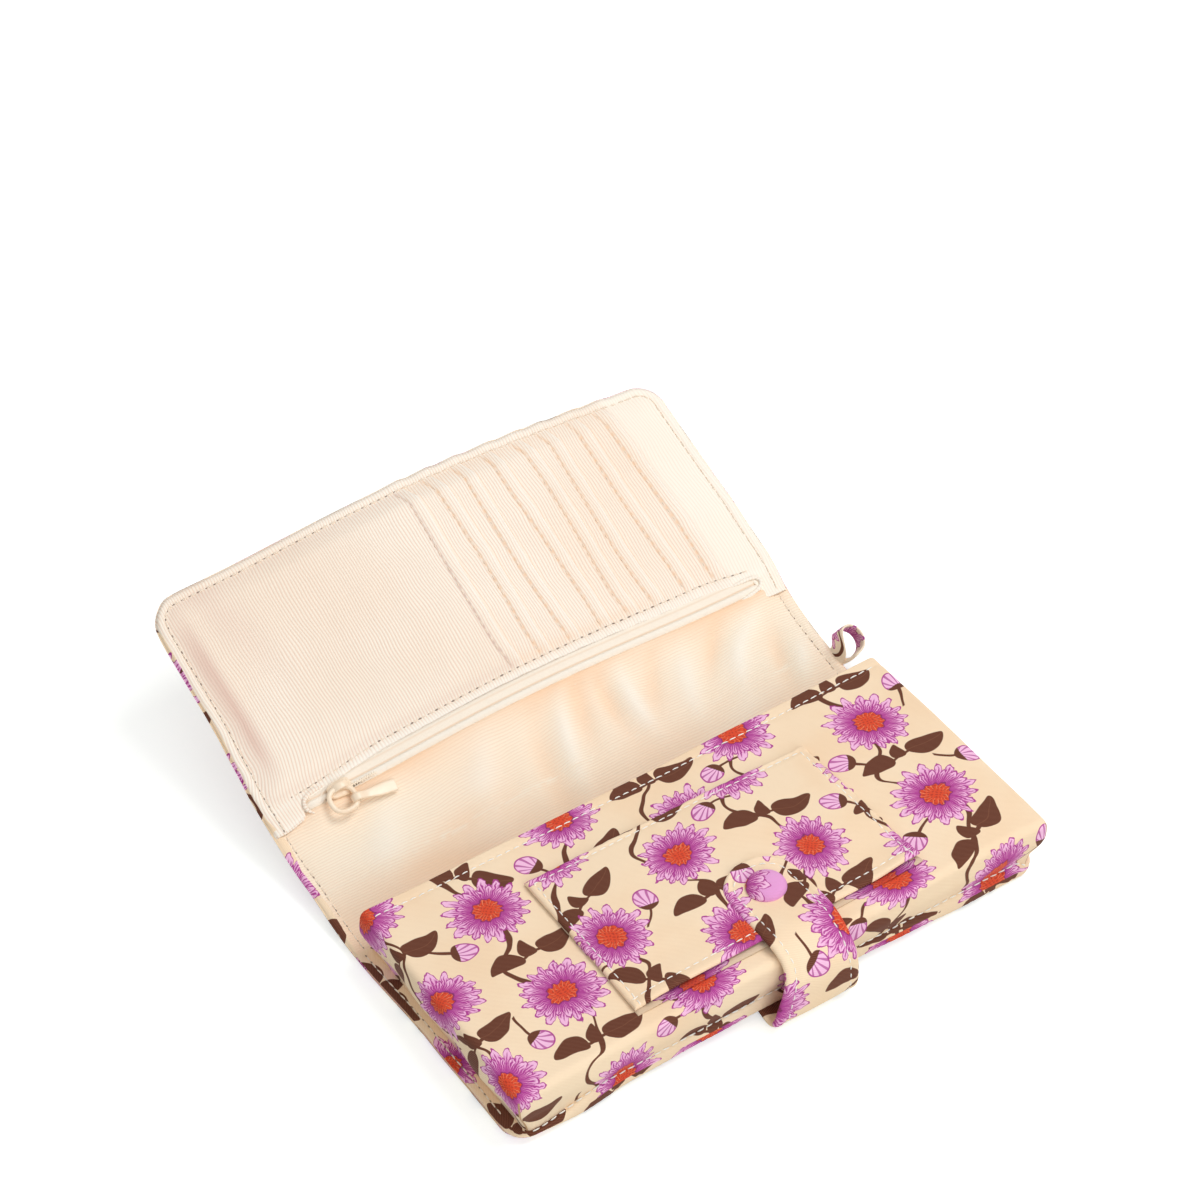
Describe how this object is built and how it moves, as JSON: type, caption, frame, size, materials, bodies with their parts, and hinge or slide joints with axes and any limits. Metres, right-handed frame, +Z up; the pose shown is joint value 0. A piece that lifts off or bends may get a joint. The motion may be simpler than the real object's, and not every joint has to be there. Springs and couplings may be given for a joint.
{
  "type": "phone wristlet",
  "caption": "Fabric wristlet wallet lying open, with a boxed phone pocket, slip pocket, snap tab, stepped card slots, zipped pocket and a side loop for a strap.",
  "frame": {"origin": "middle of the base's resting face, under the phone pocket", "axes": "+Z up from the resting face, +Y from the snap tab's edge to the flap, +X to the strap loop"},
  "size_m": [0.1889, 0.2128, 0.0466],
  "materials": {
    "cover_base": "quilted printed cotton",
    "padding_base": "soft batting",
    "lining_base": "plain woven lining",
    "seam_left": "stitched printed cotton",
    "seam_right": "stitched printed cotton",
    "seam_near": "rolled printed cotton seam",
    "pocket_shell": "padded printed cotton",
    "pocket_lining": "plain woven lining",
    "mouth_hem": "folded hem",
    "patch_backing": "printed cotton",
    "patch_panel": "printed cotton with a layered hem",
    "tab_root": "printed cotton",
    "cover_spine": "printed cotton",
    "padding_spine": "soft batting",
    "lining_spine": "ribbed woven lining",
    "strap_loop": "folded printed ribbon",
    "cover_flap": "printed cotton",
    "padding_flap": "soft batting",
    "lining_flap": "ribbed woven lining",
    "zip_pocket_lining": "plain woven lining",
    "card_backing": "ribbed woven lining",
    "zip_tape_upper": "woven zip tape",
    "zip_tape_lower": "woven zip tape",
    "zip_coil_upper": "moulded coil",
    "zip_coil_lower": "moulded coil",
    "zip_stop_left": "moulded",
    "zip_stop_right": "moulded",
    "zip_end_left": "folded lining",
    "zip_end_right": "folded lining",
    "snap_stud": "plain nickel",
    "slider_body": "cream enamelled",
    "pull_ring": "cream enamelled",
    "pull_tab": "cream enamelled",
    "tab_riser_cover": "printed cotton",
    "tab_riser_padding": "soft batting",
    "tab_riser_facing": "printed cotton",
    "tab_end_cover": "printed cotton",
    "tab_end_padding": "soft batting",
    "tab_end_facing": "printed cotton",
    "snap_cap": "smooth lilac",
    "snap_socket": "plain nickel",
    "card_slot_1": "ribbed woven lining with a stitched hem",
    "card_slot_2": "ribbed woven lining with a stitched hem",
    "card_slot_3": "ribbed woven lining with a stitched hem",
    "card_slot_4": "ribbed woven lining with a stitched hem",
    "card_slot_5": "ribbed woven lining with a stitched hem",
    "card_slot_6": "ribbed woven lining with a stitched hem",
    "card_slot_7": "ribbed woven lining with a stitched hem",
    "card_slot_8": "ribbed woven lining with a stitched hem"
  },
  "bodies": {
    "base": {"cover_base": "cover_base", "padding_base": "padding_base", "lining_base": "lining_base", "seam_left": "seam_left", "seam_right": "seam_right", "seam_near": "seam_near", "pocket_shell": "pocket_shell", "pocket_lining": "pocket_lining", "mouth_hem": "mouth_hem", "patch_backing": "patch_backing", "patch_panel": "patch_panel", "tab_root": "tab_root"},
    "spine": {"cover_spine": "cover_spine", "padding_spine": "padding_spine", "lining_spine": "lining_spine", "strap_loop": "strap_loop"},
    "flap": {"cover_flap": "cover_flap", "padding_flap": "padding_flap", "lining_flap": "lining_flap", "zip_pocket_lining": "zip_pocket_lining", "card_backing": "card_backing", "card_slot_1": "card_slot_1", "card_slot_2": "card_slot_2", "card_slot_3": "card_slot_3", "card_slot_4": "card_slot_4", "card_slot_5": "card_slot_5", "card_slot_6": "card_slot_6", "card_slot_7": "card_slot_7", "card_slot_8": "card_slot_8", "zip_tape_upper": "zip_tape_upper", "zip_tape_lower": "zip_tape_lower", "zip_coil_upper": "zip_coil_upper", "zip_coil_lower": "zip_coil_lower", "zip_stop_left": "zip_stop_left", "zip_stop_right": "zip_stop_right", "zip_end_left": "zip_end_left", "zip_end_right": "zip_end_right", "snap_stud": "snap_stud"},
    "zip_slider": {"slider_body": "slider_body"},
    "ring": {"pull_ring": "pull_ring"},
    "pull": {"pull_tab": "pull_tab"},
    "tab_riser": {"tab_riser_cover": "tab_riser_cover", "tab_riser_padding": "tab_riser_padding", "tab_riser_facing": "tab_riser_facing"},
    "tab_end": {"tab_end_cover": "tab_end_cover", "tab_end_padding": "tab_end_padding", "tab_end_facing": "tab_end_facing", "snap_cap": "snap_cap", "snap_socket": "snap_socket"}
  },
  "joints": [
    {"name": "spine_fold", "type": "hinge", "parent": "base", "child": "spine", "pos_m": [0, 0.044, 0.0026], "axis": [1, 0, 0], "range_deg": [-11, 78.75]},
    {"name": "flap_fold", "type": "hinge", "parent": "spine", "child": "flap", "pos_m": [0, 0.0744, 0.00865], "axis": [1, 0, 0], "range_deg": [-9.5, 78.75]},
    {"name": "tab_fold_lower", "type": "hinge", "parent": "base", "child": "tab_riser", "pos_m": [0.0082, -0.0516, 0.0025], "axis": [1, 0, 0], "range_deg": [0, 90]},
    {"name": "tab_fold_upper", "type": "hinge", "parent": "tab_riser", "child": "tab_end", "pos_m": [0.0082, -0.0516, 0.0234], "axis": [1, 0, 0], "range_deg": [0, 75]},
    {"name": "zip_slide", "type": "slide", "parent": "flap", "child": "zip_slider", "axis": [1, 0, 0], "range_m": [-0.005, 0.14]},
    {"name": "ring_hinge", "type": "hinge", "parent": "zip_slider", "child": "ring", "pos_m": [-0.066, 0.08382, 0.01661], "axis": [-1, 0, 0], "range_deg": [0, 150]},
    {"name": "pull_hinge", "type": "hinge", "parent": "ring", "child": "pull", "pos_m": [-0.06405, 0.08382, 0.01661], "axis": [0, 0.9239, 0.3827], "range_deg": [-90, 0]}
  ]
}
